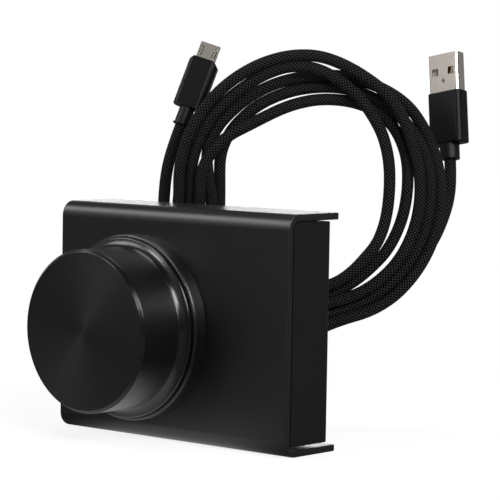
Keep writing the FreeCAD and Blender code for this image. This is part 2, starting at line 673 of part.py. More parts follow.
def contact_row(count, pitch, width, y0, y1, z0, z1):
    strips = []
    for i in range(count):
        x = (i - (count - 1) / 2) * pitch
        strips.append(box(x - width / 2, x + width / 2, y0, y1, z0, z1))
    return Part.makeCompound(strips)


def usb_socket_contacts():
    mouth = BACK_Y - SOCKET_MOUTH_INSET
    return at_socket(contact_row(CONTACT_COUNT, CONTACT_PITCH, CONTACT_WIDTH, BOARD_REAR_Y + SOCKET_BLOCK,
                                 mouth - CONTACT_MOUTH_GAP, -CONTACT_SHEET, 0))


def controller_chip():
    half = CHIP_SIZE / 2
    return box(CHIP_X - half, CHIP_X + half, BOARD_REAR_Y, BOARD_REAR_Y + CHIP_SHEET,
               CHIP_Z - half, CHIP_Z + half)


def chip_leads():
    leads = []
    for i in range(LEADS_PER_SIDE):
        step = (i - (LEADS_PER_SIDE - 1) / 2) * LEAD_PITCH
        for quarter in range(4):
            lead = box(CHIP_SIZE / 2, CHIP_SIZE / 2 + LEAD_LENGTH, BOARD_REAR_Y, BOARD_REAR_Y + LEAD_SHEET,
                       step - LEAD_WIDTH / 2, step + LEAD_WIDTH / 2)
            lead.rotate(Vector(0, 0, 0), Vector(0, 1, 0), 90 * quarter)
            lead.translate(Vector(CHIP_X, 0, CHIP_Z))
            leads.append(lead)
    return Part.makeCompound(leads)


def board_part(size, x, z):
    """Small brick soldered on the board's rear face."""
    width, height, thickness = size
    return box(x - width / 2, x + width / 2, BOARD_REAR_Y, BOARD_REAR_Y + thickness,
               z - height / 2, z + height / 2)


def crystal():
    can = board_part(CRYSTAL_SIZE, CHIP_X + CHIP_SIZE + CRYSTAL_SIZE[0], CHIP_Z)
    return can.makeFillet(CRYSTAL_SIZE[2] / 2, edges_along(can, Vector(0, 1, 0)))


def capacitors():
    start = CHIP_X - CHIP_SIZE / 2
    below = CHIP_Z - CHIP_SIZE
    bricks = [board_part(CAPACITOR_SIZE, start + i * PART_PITCH, below) for i in range(CAPACITORS)]
    return Part.makeCompound(bricks)


def resistors():
    start = CHIP_X - CHIP_SIZE / 2
    above = CHIP_Z + CHIP_SIZE
    bricks = [board_part(RESISTOR_SIZE, start + i * PART_PITCH, above) for i in range(RESISTORS)]
    return Part.makeCompound(bricks)


# ---------------------------------------------------------------- cable

def coil_axes():
    """Right, up and forward of the coil's plane."""
    yaw = math.radians(COIL_YAW)
    lean = math.radians(COIL_LEAN)
    level = Vector(math.sin(yaw), -math.cos(yaw), 0)
    right = Vector(math.cos(yaw), math.sin(yaw), 0)
    up = Vector(0, 0, 1) * math.cos(lean) + level * math.sin(lean)
    forward = level * math.cos(lean) - Vector(0, 0, 1) * math.sin(lean)
    return right, up, forward


def coil_centre():
    """Centre of the coil, so placed that its rounded left edge touches the top flange's rear edge."""
    right, up, forward = coil_axes()
    yaw = math.radians(COIL_YAW)
    lean = math.radians(COIL_LEAN)
    seat = Vector(COIL_SEAT_X, COVER_DEPTH, COVER_HEIGHT)
    ahead = COIL_THICKNESS / 2 - COIL_EDGE
    ahead += (COIL_EDGE * (1 - math.sin(yaw)) + COIL_SEAT_GAP) / math.cos(yaw)
    level = Vector(math.sin(yaw), -math.cos(yaw), 0)
    rise = COIL_CENTRE_HEIGHT - COVER_HEIGHT
    back = (ahead - rise * math.sin(lean)) / math.cos(lean)
    return seat - right * COIL_SEAT_U - level * back + Vector(0, 0, rise)


def from_coil(point):
    """A (right, up) or (right, up, forward) place in the coil's frame, in the case's frame."""
    right, up, forward = coil_axes()
    ahead = point[2] if len(point) > 2 else 0.0
    return coil_centre() + right * point[0] + up * point[1] + forward * ahead


def closed_curve(points):
    curve = Part.BSplineCurve()
    curve.interpolate(Points=points, PeriodicFlag=True)
    return Part.Wire(curve.toShape())


def coil_foot():
    """Lowest point of the outer outline, which stands on the floor."""
    lean = math.radians(COIL_LEAN)
    ahead = (COIL_THICKNESS / 2 - COIL_EDGE) * math.sin(lean)
    drop = COIL_CENTRE_HEIGHT - COIL_FLOOR_GAP - COIL_EDGE - ahead
    return (COIL_FOOT_U, -drop / math.cos(lean) - COIL_EDGE)


def cable_coil():
    forward = coil_axes()[2]
    back = forward * (-COIL_THICKNESS / 2)
    outer_points = COIL_OUTER_RIGHT + [coil_foot()] + COIL_OUTER_LEFT
    outer = closed_curve([from_coil(point) + back for point in outer_points])
    inner = closed_curve([from_coil(point) + back for point in COIL_INNER])
    band = Part.Face(outer).extrude(forward * COIL_THICKNESS)
    hole = Part.Face(inner).extrude(forward * COIL_THICKNESS)
    ring = band.cut(hole).Solids[0]
    rims = [edge for edge in ring.Edges if edge.isClosed()]
    return ring.makeFillet(COIL_EDGE, rims)


def cable_tube(points):
    """Round cable along straight runs joined by tangent arcs."""
    places = [from_coil(point) for point in points]
    edges = []
    start = places[0]
    for before, corner, after in zip(places, places[1:], places[2:]):
        into = (corner - before).normalize()
        out = (after - corner).normalize()
        share = BEND_SHARE * min((corner - before).Length, (after - corner).Length)
        half_turn = into.getAngle(out) / 2
        radius = share / math.tan(half_turn)
        first = corner - into * share
        last = corner + out * share
        bulge = (out - into).normalize()
        middle = corner + bulge * (radius / math.cos(half_turn) - radius)
        edges.append(Part.LineSegment(start, first).toShape())
        edges.append(Part.Arc(first, middle, last).toShape())
        start = last
    edges.append(Part.LineSegment(start, places[-1]).toShape())
    path = Part.Wire(edges)
    direction = (places[1] - places[0]).normalize()
    section = Part.Wire(Part.makeCircle(CABLE_RADIUS, places[0], direction))
    return path.makePipeShell([section], True, False)


def on_plug(shape, lead, turn):
    """From a plug's own frame (+Z to its tip, +Y to its back face) to the end of its lead."""
    right = coil_axes()[0]
    end = from_coil(lead[0])
    tip = (end - from_coil(lead[1])).normalize()
    along = FreeCAD.Rotation(right, Vector(0, 0, 0), tip, "ZXY")
    turning = FreeCAD.Rotation(Vector(0, 0, 1), turn)
    plug = shape.copy()
    plug.Placement = FreeCAD.Placement(end, along * turning) * plug.Placement
    return plug


def on_micro_plug(shape):
    return on_plug(shape, MICRO_LEAD, MICRO_TURN)


def on_usb_a_plug(shape):
    return on_plug(shape, USB_A_LEAD, USB_A_TURN)


def upright_bar(width, depth, z0, z1):
    """Rectangular bar along a plug's length."""
    return box(-width / 2, width / 2, -depth / 2, depth / 2, z0, z1)


def micro_plug_sleeve():
    """Strain relief with a lip where the cable comes out."""
    barrel = Part.makeCylinder(MICRO_SLEEVE_RADIUS, MICRO_SLEEVE_LENGTH)
    return barrel.fuse(Part.makeCylinder(MICRO_SLEEVE_RADIUS + MICRO_SLEEVE_LIP, MICRO_SLEEVE_LIP))


def micro_plug_body():
    width, depth, length = MICRO_BODY
    start = MICRO_SLEEVE_LENGTH
    body = upright_bar(width, depth, start, start + length)
    tip = edges_along(body, Vector(0, 1, 0), lambda edge: edge.Vertexes[0].Z > start + 1)
    body = body.makeChamfer(MICRO_BODY_CHAMFER, tip)
    return body.makeFillet(MICRO_BODY_EDGE, edges_along(body, Vector(0, 0, 1)))


def micro_outline(width, height, z0, z1):
    """Micro-USB outline along a plug's length."""
    bar = trapezoid(width, height, SOCKET_CHAMFER, 0, z1 - z0)
    bar.rotate(Vector(0, 0, 0), Vector(1, 0, 0), 90)
    bar.translate(Vector(0, 0, z0))
    return bar


def latch_windows(gap):
    """Two long openings in the plug's front face."""
    tip = MICRO_SLEEVE_LENGTH + MICRO_BODY[2] + MICRO_SHELL_LENGTH
    middle = tip - MICRO_SHELL_LENGTH / 2
    bars = []
    for side in (-1, 1):
        centre = Vector(side * LATCH_SPACING / 2, -MICRO_SHELL_HEIGHT / 2, middle)
        bars.append(centred_box(LATCH_WIDTH + 2 * gap, 2 * PLUG_SHEET, LATCH_LENGTH + 2 * gap, centre))
    return bars


def micro_plug_shell():
    start = MICRO_SLEEVE_LENGTH + MICRO_BODY[2]
    end = start + MICRO_SHELL_LENGTH
    outer = micro_outline(MICRO_SHELL_WIDTH, MICRO_SHELL_HEIGHT, start, end)
    inner = micro_outline(MICRO_SHELL_WIDTH - 2 * PLUG_SHEET, MICRO_SHELL_HEIGHT - 2 * PLUG_SHEET,
                          start - 1, end + 1)
    return outer.cut([inner] + latch_windows(LATCH_GAP))


def micro_plug_latches():
    return Part.makeCompound(latch_windows(0))


def micro_plug_insert():
    start = MICRO_SLEEVE_LENGTH + MICRO_BODY[2]
    return micro_outline(MICRO_SHELL_WIDTH - 2 * PLUG_SHEET, MICRO_SHELL_HEIGHT - 2 * PLUG_SHEET,
                         start, start + MICRO_INSERT_SHEET)


def usb_a_sleeve():
    return Part.makeCylinder(USB_A_SLEEVE_RADIUS, USB_A_SLEEVE_LENGTH)


def usb_a_body():
    width, depth, length = USB_A_BODY
    body = upright_bar(width, depth, USB_A_SLEEVE_LENGTH, USB_A_SLEEVE_LENGTH + length)
    body = body.makeFillet(USB_A_BODY_EDGE, edges_along(body, Vector(0, 0, 1)))
    ends = [edge for edge in body.Edges if abs(edge.Vertexes[0].Z - edge.Vertexes[-1].Z) < 1e-6]
    return body.makeFillet(USB_A_BODY_END_EDGE, ends)


def usb_a_shell():
    start = USB_A_SLEEVE_LENGTH + USB_A_BODY[2]
    end = start + USB_A_SHELL_LENGTH
    outer = upright_bar(USB_A_SHELL_WIDTH, USB_A_SHELL_HEIGHT, start, end)
    outer = outer.makeFillet(USB_A_SHELL_CORNER, edges_along(outer, Vector(0, 0, 1)))
    inner = upright_bar(USB_A_SHELL_WIDTH - 2 * USB_A_SHELL_SHEET, USB_A_SHELL_HEIGHT - 2 * USB_A_SHELL_SHEET,
                        start - 1, end + 1)
    inner = inner.makeFillet(USB_A_SHELL_CORNER - USB_A_SHELL_SHEET, edges_along(inner, Vector(0, 0, 1)))
    openings = [inner]
    for side in (-1, 1):
        centre = Vector(side * WINDOW_SPACING / 2, 0, end - WINDOW_FROM_TIP)
        openings.append(centred_box(WINDOW_WIDTH, USB_A_SHELL_HEIGHT + 1, WINDOW_LENGTH, centre))
    openings.append(rod(DIMPLE_RADIUS, -USB_A_SHELL_HEIGHT, 0, 0, end - DIMPLE_FROM_TIP))
    return outer.cut(openings)


def usb_a_insert():
    start = USB_A_SLEEVE_LENGTH + USB_A_BODY[2]
    end = start + USB_A_SHELL_LENGTH - USB_A_SHELL_SHEET
    half = USB_A_SHELL_WIDTH / 2 - USB_A_SHELL_SHEET
    wall = USB_A_SHELL_HEIGHT / 2 - USB_A_SHELL_SHEET
    tongue = box(-half, half, wall - USB_A_INSERT_SHEET, wall, start, end)
    corners = edges_along(tongue, Vector(0, 0, 1), lambda edge: edge.Vertexes[0].Y > wall - 1e-6)
    return tongue.makeFillet(USB_A_SHELL_CORNER, corners)


def usb_a_contacts():
    start = USB_A_SLEEVE_LENGTH + USB_A_BODY[2]
    end = start + USB_A_SHELL_LENGTH - 2 * USB_A_SHELL_SHEET
    front = USB_A_SHELL_HEIGHT / 2 - USB_A_SHELL_SHEET - USB_A_INSERT_SHEET
    strips = []
    for i in range(USB_A_CONTACTS):
        x = (i - (USB_A_CONTACTS - 1) / 2) * USB_A_CONTACT_PITCH
        strips.append(box(x - USB_A_CONTACT_WIDTH / 2, x + USB_A_CONTACT_WIDTH / 2,
                          front - CONTACT_SHEET, front, end - USB_A_CONTACT_LENGTH, end))
    return Part.makeCompound(strips)


# ---------------------------------------------------------------- export

def placed(shape):
    moved = shape.copy()
    moved.translate(Vector(0, PANEL_Y, 0))
    return moved


def build():
    return {
        "front_cover": front_cover(),
        "rear_chassis": rear_chassis(),
        "cover_screws": Part.makeCompound([cover_screw(1), cover_screw(-1)]),
        "clinch_nuts": Part.makeCompound([clinch_nut(1), clinch_nut(-1)]),
        "base_ring": base_ring(),
        "knob_shell": knob_shell(),
        "knob_hub": knob_hub(),
        "encoder_frame": encoder_frame(),
        "encoder_housing": encoder_housing(),
        "encoder_base": encoder_base(),
        "detent_spring": detent_spring(),
        "encoder_rotor": encoder_rotor(),
        "encoder_shaft": encoder_shaft(),
        "switch_dome": switch_dome(),
        "encoder_pins": encoder_pins(),
        "encoder_washer": encoder_washer(),
        "encoder_nut": encoder_nut(),
        "main_board": main_board(),
        "board_standoffs": board_standoffs(),
        "board_screws": board_screws(),
        "usb_socket_shell": usb_socket_shell(),
        "usb_socket_insert": usb_socket_insert(),
        "usb_socket_contacts": usb_socket_contacts(),
        "controller_chip": controller_chip(),
        "chip_leads": chip_leads(),
        "crystal": crystal(),
        "capacitors": capacitors(),
        "resistors": resistors(),
        "micro_plug_sleeve": on_micro_plug(micro_plug_sleeve()),
        "micro_plug_body": on_micro_plug(micro_plug_body()),
        "micro_plug_shell": on_micro_plug(micro_plug_shell()),
        "micro_plug_latches": on_micro_plug(micro_plug_latches()),
        "micro_plug_insert": on_micro_plug(micro_plug_insert()),
        "micro_lead": cable_tube(MICRO_LEAD),
        "cable_coil": cable_coil(),
        "usb_a_lead": cable_tube(USB_A_LEAD),
        "usb_a_sleeve": on_usb_a_plug(usb_a_sleeve()),
        "usb_a_body": on_usb_a_plug(usb_a_body()),
        "usb_a_shell": on_usb_a_plug(usb_a_shell()),
        "usb_a_insert": on_usb_a_plug(usb_a_insert()),
        "usb_a_contacts": on_usb_a_plug(usb_a_contacts()),
    }


os.makedirs("parts", exist_ok=True)
for node, shape in build().items():
    placed(shape).exportStep("parts/" + node + ".step")
    print(node, "solids", len(shape.Solids), "valid", shape.isValid(), "volume", round(shape.Volume, 1))
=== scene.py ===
"""Dressed model of an upright volume knob on a folded black case, with its braided USB cable."""
import json
import math

import bpy
from mathutils import Euler, Matrix, Vector


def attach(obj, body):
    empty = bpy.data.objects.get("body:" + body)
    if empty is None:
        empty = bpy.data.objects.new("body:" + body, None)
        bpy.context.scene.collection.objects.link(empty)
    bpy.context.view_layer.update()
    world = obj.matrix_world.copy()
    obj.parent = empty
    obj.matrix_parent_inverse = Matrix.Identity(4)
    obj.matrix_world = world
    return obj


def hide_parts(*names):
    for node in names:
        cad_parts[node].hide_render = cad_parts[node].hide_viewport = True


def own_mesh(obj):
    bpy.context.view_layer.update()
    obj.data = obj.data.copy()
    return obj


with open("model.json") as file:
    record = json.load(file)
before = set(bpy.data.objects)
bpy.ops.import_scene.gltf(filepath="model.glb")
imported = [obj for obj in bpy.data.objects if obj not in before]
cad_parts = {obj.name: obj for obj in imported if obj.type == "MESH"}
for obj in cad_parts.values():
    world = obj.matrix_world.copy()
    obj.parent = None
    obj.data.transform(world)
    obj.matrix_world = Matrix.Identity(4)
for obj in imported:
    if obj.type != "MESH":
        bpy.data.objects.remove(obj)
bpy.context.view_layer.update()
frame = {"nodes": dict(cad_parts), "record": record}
nodes = frame["nodes"]
scene = bpy.context.scene
MM = 0.001

# ------------------------------------------------ sizes shared with the model's solids, in mm
CASE_DEPTH = 24.4
CASE_HEIGHT = 75.6
# where the front panel's outside face lies, and the knob's axis
PANEL_Y = 0.25
KNOB_X = -14.5
KNOB_Z = 36.2
# polished edges of the knob: its front bevel by radius and depth, and its flare by radius
BEVEL_INSIDE = 25.2
BEVEL_REAR = -23.5
FLARE_INSIDE = 26.35

# ------------------------------------------------ the cable, in mm and degrees
CABLE_RADIUS = 2.0
CABLE_SIDES = 20
CABLE_STEP = 1.0
# the coil's heading and lean, the height of its middle, its thickness and the radius of its round edges
COIL_YAW = 40.6
COIL_LEAN = 3.0
COIL_CENTRE_HEIGHT = 80.7
COIL_THICKNESS = 11.0
COIL_EDGE = 3.4
# where the coil touches the top flange: its X, its place along the coil's right, and the gap there
COIL_SEAT_X = -28.3
COIL_SEAT_U = -53.2
COIL_SEAT_GAP = 0.1
# each free lead from its plug's sleeve to the coil, along the coil's right, up and forward
MICRO_LEAD = [
    (-46.2, 20.1, -8.0), (-48.9, 12.6, -6.0), (-50.9, 4.4, -5.2), (-51.6, -4.8, -4.2), (-51.6, -14.0, -2.6),
]
USB_A_LEAD = [
    (45.4, 9.9, -9.0), (45.7, 2.9, -6.9), (45.0, -4.4, -6.4), (42.9, -11.2, -5.4), (39.8, -18.0, -3.8),
]
# inside and outside radius of the wound ring, by angle from its right-hand side round over the top
RING = {
    0: (23.3, 44.1), 22.5: (24.4, 43.9), 45: (26.9, 44.4), 67.5: (28.8, 44.2), 90: (27.5, 46.8),
    112.5: (26.9, 48.0), 135: (28.0, 48.0), 157.5: (31.0, 48.0), 180: (30.7, 48.0), 202.5: (29.5, 48.0),
    225: (29.0, 48.0), 247.5: (29.0, 48.0), 270: (30.0, 47.9), 285: (30.6, 47.6), 300: (27.5, 47.9),
    315: (26.4, 46.8), 337.5: (24.1, 45.25),
}
# each turn runs from the left-hand side down, along the bottom, up on the right and back over the top:
# its angle on from the left, then its place across the ring (0 inside, 1 outside) and its layer, in mm,
# with the front positive
TURNS = [
    {0: (1.30, -2.4), 60: (0.95, 0.0), 105: (0.98, 0.6), 180: (1.00, -2.0), 208: (0.96, -2.3),
     225: (0.93, -2.5), 251: (0.72, -2.5), 270: (0.55, -2.2), 290: (0.53, -2.0), 320: (0.535, -1.5),
     330: (0.53, -1.1), 340: (0.50, -0.6)},
    {0: (0.25, 0.6), 60: (0.10, 0.5), 105: (0.00, 2.0), 150: (-0.04, 2.1), 190: (-0.05, 2.2),
     232: (0.07, 2.4), 248: (0.32, 2.4), 268: (0.68, 2.3), 278: (0.80, 2.0), 305: (0.77, 1.2),
     322: (0.785, 0.8), 342: (0.77, 0.4)},
    {0: (0.76, 0.0), 60: (0.55, 0.5), 105: (0.24, -1.2), 180: (0.31, 0.4), 200: (0.37, -0.8),
     220: (0.35, -2.0), 233: (0.24, -2.2), 251: (0.04, -1.8), 270: (0.03, -0.8), 300: (0.03, 1.0),
     315: (0.05, 2.0), 330: (0.20, 2.4), 340: (0.34, 2.5), 350: (0.47, 2.6)},
    {0: (0.53, 2.6), 60: (0.30, 0.5), 105: (0.49, 1.0), 180: (0.57, 2.0), 200: (0.57, 2.4),
     210: (0.58, 2.4), 220: (0.65, 2.4), 235: (0.80, 2.4), 252: (0.91, 2.4), 270: (1.00, 2.3),
     300: (1.01, 1.9), 318: (1.04, 1.6)},
    {0: (1.05, 1.3), 60: (0.78, 0.5), 105: (0.75, -1.2), 180: (0.79, -0.9), 202: (0.775, -1.1),
     214: (0.68, -1.8), 228: (0.56, -2.2), 240: (0.47, -2.3), 250: (0.385, -2.3), 270: (0.30, -2.4),
     292: (0.29, -2.4), 315: (0.28, -2.4), 330: (0.20, -2.5), 342: (0.10, -2.6)},
    {0: (0.00, -2.8), 60: (0.45, -4.0), 105: (0.62, -4.2), 150: (1.08, -3.9)},
]
# how far each turn sags behind the case at its lowest, and how a turn's sag grows and ends
SAGS = [43.7, 22.0, 35.5, 28.0, 39.5, 8.0]
SAG_SHAPE = {8: 0.0, 24: 0.23, 42: 0.58, 59: 0.93, 69: 1.0, 76: 0.76, 83: 0.30, 90: 0.07, 97: 0.0}
POINTS_PER_TURN = 30
COIL_START = 30
COIL_END = 5 * 360 + 144
# steps of the smooth line from one point of the route to the next
ROUTE_STEPS = 12

# ------------------------------------------------ camera, in metres and degrees, its lens and sensor in mm
CAMERA_PLACE = (0.510886, -0.557735, 0.115623)
CAMERA_TILT = 85.972
CAMERA_ROLL = -0.971
CAMERA_HEADING = 40.619
CAMERA_LENS = 170.4
CAMERA_SENSOR = 36.0

# ------------------------------------------------ surface effects
# grain: how strongly the specks roughen next to the drift
SPECK_SHARE = 1.4
# lathe rings: how many a wall has for each on a face as wide, and how much roughness polishing leaves
WALL_RINGS = 0.83
POLISHED = 0.7
# rolled streaks: their stretch along X, and how strongly the smudges show next to them
STREAK_STRETCH = (0.06, 1.0, 1.0)
SMUDGE_SHARE = 0.7
# plaited sleeve: how round a bundle is across, how it bows over the one below, and the yarns in it
BUNDLE_ROUNDNESS = 0.6
BUNDLE_BOW = 0.35
YARNS_PER_BUNDLE = 3
YARN_RELIEF = 0.06
# how fast the painted shade deepens from the crest of a bundle into the gaps, how softly it starts to, and
# its roughness in the gaps with what the crests have less
SHADE_SLOPE = 2.2
SHADE_SOFTNESS = 0.1
GAP_ROUGHNESS = 0.75
CREST_GLOSS = 0.2

# ------------------------------------------------ studio, in metres and watts
WHITE = (1, 1, 1, 1)
# light of the room on the object, and what shiny faces see at least
ROOM_LIGHT = 0.32
DARK_GLARE = 0.04
# the floor's half width, its own tone, and how much of it glows in shiny faces
FLOOR_HALF = 6.0
FLOOR_TONE = (0.9, 0.9, 0.9, 1)
FLOOR_ROUGHNESS = 0.9
FLOOR_MIRRORED = 0.9
LAMPS_AIM = (0.0, 0.02, 0.05)
# each lamp's name, place, width, height and power
LAMPS = [
    ("front lamp", (-0.583, -0.396, 0.62), 0.5, 0.3, 2.6),
    ("top lamp", (-0.12, 0.08, 0.85), 0.4, 0.4, 1.8),
    ("fore lamp", (-0.27, -0.62, 0.42), 0.16, 0.16, 1.5),
    ("side lamp", (0.78, -0.09, 0.50), 0.2, 0.32, 4.6),
    ("corner lamp", (0.62, -0.42, 0.55), 0.2, 0.3, 4.4),
    ("rear lamp", (-0.6, 0.7, 0.14), 0.6, 0.12, 1.6),
]


# ------------------------------------------------ camera
def place_camera():
    """A long lens, to the right of the knob and a little above the case."""
    data = bpy.data.cameras.new("camera")
    data.sensor_width = CAMERA_SENSOR
    data.lens = CAMERA_LENS
    data.clip_start = 0.05
    data.clip_end = 20.0
    camera = bpy.data.objects.new("camera", data)
    scene.collection.objects.link(camera)
    turned = Euler([math.radians(angle) for angle in (CAMERA_TILT, CAMERA_ROLL, CAMERA_HEADING)])
    camera.matrix_world = Matrix.LocRotScale(Vector(CAMERA_PLACE), turned, None)
    scene.camera = camera


# ------------------------------------------------ the cable's route
def coil_frame():
    """The coil's centre, in mm, and its own right, up and forward.
    It leans on the rear edge of the top flange, which sets how far back its centre lies."""
    yaw = math.radians(COIL_YAW)
    lean = math.radians(COIL_LEAN)
    level = Vector((math.sin(yaw), -math.cos(yaw), 0))
    right = Vector((math.cos(yaw), math.sin(yaw), 0))
    up = Vector((0, 0, math.cos(lean))) + level * math.sin(lean)
    forward = level * math.cos(lean) - Vector((0, 0, math.sin(lean)))
    ahead = COIL_THICKNESS / 2 - COIL_EDGE + (COIL_EDGE * (1 - math.sin(yaw)) + COIL_SEAT_GAP) / math.cos(yaw)
    rise = COIL_CENTRE_HEIGHT - CASE_HEIGHT
    back = (ahead - rise * math.sin(lean)) / math.cos(lean)
    seat = Vector((COIL_SEAT_X, CASE_DEPTH + PANEL_Y, CASE_HEIGHT))
    centre = seat - right * COIL_SEAT_U - level * back + Vector((0, 0, rise))
    return centre, right, up, forward


def eased(stations, place, period=None):
    """Smooth value at a place, between stations given as (place, value). With a period they repeat."""
    stations = sorted(stations)
    if period:
        before = [(at - period, value) for at, value in stations[-2:]]
        stations = before + stations + [(at + period, value) for at, value in stations[:2]]
    if place <= stations[0][0]:
        return stations[0][1]
    if place >= stations[-1][0]:
        return stations[-1][1]
    last = len(stations) - 1
    i = max(k for k in range(last) if stations[k][0] <= place)

    def slope(k):
        """Slope at a station, from its two neighbours."""
        a, b = stations[max(k - 1, 0)], stations[min(k + 1, last)]
        return (b[1] - a[1]) / (b[0] - a[0])

    (x0, y0), (x1, y1) = stations[i], stations[i + 1]
    h = x1 - x0
    t = (place - x0) / h
    return ((2 * t**3 - 3 * t**2 + 1) * y0 + (t**3 - 2 * t**2 + t) * h * slope(i)
            + (3 * t**2 - 2 * t**3) * y1 + (t**3 - t**2) * h * slope(i + 1))


def cable_route():
    """Points of the cable from the micro-USB plug, through its loose turns, to the USB-A plug."""
    stations = [(360 * k + at, place) for k, turn in enumerate(TURNS) for at, place in turn.items()]
    across = [(at, place[0]) for at, place in stations]
    layer = [(at, place[1]) for at, place in stations]
    inside = [(at, radii[0]) for at, radii in RING.items()]
    outside = [(at, radii[1]) for at, radii in RING.items()]
    points = list(MICRO_LEAD)
    for step in range((COIL_END - COIL_START) * POINTS_PER_TURN // 360 + 1):
        at = COIL_START + step * 360 / POINTS_PER_TURN
        angle = (at + 180) % 360
        low = eased(inside, angle, 360) + CABLE_RADIUS
        high = eased(outside, angle, 360) - CABLE_RADIUS
        radius = low + eased(across, at) * (high - low)
        radius += SAGS[int(at // 360)] * eased(SAG_SHAPE.items(), at % 360)
        side = radius * math.cos(math.radians(angle))
        rise = radius * math.sin(math.radians(angle))
        points.append((side, rise, eased(layer, at)))
    points += USB_A_LEAD[::-1]
    centre, right, up, forward = coil_frame()
    return [(centre + right * u + up * v + forward * w) * MM for u, v, w in points]


def route_line(points):
    """The smooth line that the cable follows, read from a NURBS spline through the route."""
    curve = bpy.data.curves.new("cable_route", "CURVE")
    curve.dimensions = "3D"
    curve.resolution_u = ROUTE_STEPS
    spline = curve.splines.new("NURBS")
    spline.points.add(len(points) - 1)
    for slot, point in zip(spline.points, points):
        slot.co = (*point, 1)
    spline.use_endpoint_u = True
    spline.order_u = 3
    holder = bpy.data.objects.new("cable_route", curve)
    scene.collection.objects.link(holder)
    bpy.context.view_layer.update()
    mesh = bpy.data.meshes.new_from_object(holder.evaluated_get(bpy.context.evaluated_depsgraph_get()))
    line = [v.co.copy() for v in mesh.vertices]
    bpy.data.meshes.remove(mesh)
    bpy.data.objects.remove(holder)
    bpy.data.curves.remove(curve)
    return line


def even_line(line, step):
    """The same line with its points an even step apart, and its whole length."""
    lengths = [0.0]
    for a, b in zip(line, line[1:]):
        lengths.append(lengths[-1] + (b - a).length)
    count = max(2, round(lengths[-1] / step))
    out = []
    i = 0
    for k in range(count + 1):
        want = lengths[-1] * k / count
        while i < len(line) - 2 and lengths[i + 1] < want:
            i += 1
        share = (want - lengths[i]) / (lengths[i + 1] - lengths[i])
        out.append(line[i].lerp(line[i + 1], share))
    return out, lengths[-1]


def sleeve_mesh(name, line, radius, sides):
    """A tube along a line. Its UVs run in mm: along the cable, and once round it."""
    count = len(line)
    tangents = [(line[min(i + 1, count - 1)] - line[max(i - 1, 0)]).normalized() for i in range(count)]
    side = tangents[0].orthogonal().normalized()
    vertices = []
    along = [0.0]
    for i, (point, tangent) in enumerate(zip(line, tangents)):
        side = (side - tangent * side.dot(tangent)).normalized()
        other = tangent.cross(side)
        for k in range(sides):
            turn = 2 * math.pi * k / sides
            vertices.append(point + (side * math.cos(turn) + other * math.sin(turn)) * radius)
        if i:
            along.append(along[-1] + (point - line[i - 1]).length / MM)
    faces = []
    for i in range(count - 1):
        for k in range(sides):
            a, b = i * sides + k, i * sides + (k + 1) % sides
            faces.append((a, b, b + sides, a + sides))
    faces += [tuple(range(sides))[::-1], tuple(range((count - 1) * sides, count * sides))]
    mesh = bpy.data.meshes.new(name)
    mesh.from_pydata(vertices, [], faces)
    around = 2 * math.pi * radius / MM
    layer = mesh.uv_layers.new(name="braid")
    for polygon in mesh.polygons:
        wall = len(polygon.vertices) == 4
        polygon.use_smooth = wall
        for corner, loop in enumerate(polygon.loop_indices):
            i, k = divmod(mesh.loops[loop].vertex_index, sides)
            # the last face of each hoop ends where the first began, one whole turn on
            if wall and k == 0 and corner in (1, 2):
                k = sides
            layer.data[loop].uv = (along[i], around * k / sides)
    piece = bpy.data.objects.new(name, mesh)
    scene.collection.objects.link(piece)
    return piece


def lay_cable(material):
    """The whole cable, from sleeve to sleeve, in place of its plain tubes and coil."""
    line, length = even_line(route_line(cable_route()), CABLE_STEP * MM)
    cable = sleeve_mesh("braided_cable", line, CABLE_RADIUS * MM, CABLE_SIDES)
    cable.data.materials.append(material)
    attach(cable, "case")
    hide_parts("micro_lead", "cable_coil", "usb_a_lead")


# ------------------------------------------------ shader building
def add(tree, kind, sockets=(), **settings):
    """A shader node with its settings and plain socket values."""
    node = tree.nodes.new(kind)
    for name, value in settings.items():
        setattr(node, name, value)
    for name, value in dict(sockets).items():
        node.inputs[name].default_value = value
    return node


def math_node(tree, operation, *values):
    """One sum on sockets or numbers."""
    node = add(tree, "ShaderNodeMath", operation=operation)
    for slot, value in zip(node.inputs, values):
        if isinstance(value, (int, float)):
            slot.default_value = value
        else:
            tree.links.new(value, slot)
    return node.outputs[0]


def product(tree, total, *others):
    """Sockets or numbers multiplied in turn."""
    for other in others:
        total = math_node(tree, "MULTIPLY", total, other)
    return total


def separated(tree, place):
    """X, Y and Z of a place."""
    apart = add(tree, "ShaderNodeSeparateXYZ")
    tree.links.new(place, apart.inputs[0])
    return apart.outputs


def noise(tree, place, sockets):
    """A noise texture at a place."""
    texture = add(tree, "ShaderNodeTexNoise", sockets)
    tree.links.new(place, texture.inputs["Vector"])
    return texture


def swing_of(tree, texture):
    """A texture's value from 0 to 1, as a swing from -1 to 1."""
    return math_node(tree, "MULTIPLY_ADD", texture.outputs["Fac"], 2.0, -1.0)


def fade(tree, value, start, end, low, high):
    """Eases from low, where the value is at its start, to high at its end."""
    span = {"From Min": start, "From Max": end, "To Min": low, "To Max": high}
    ramp = add(tree, "ShaderNodeMapRange", span, interpolation_type="SMOOTHSTEP")
    tree.links.new(value, ramp.inputs["Value"])
    return ramp.outputs[0]


def blend(tree, share, one, other):
    """Two shaders mixed: the first at a share of 0, the other at 1."""
    mix = add(tree, "ShaderNodeMixShader")
    tree.links.new(share, mix.inputs[0])
    tree.links.new(one.outputs[0], mix.inputs[1])
    tree.links.new(other.outputs[0], mix.inputs[2])
    return mix


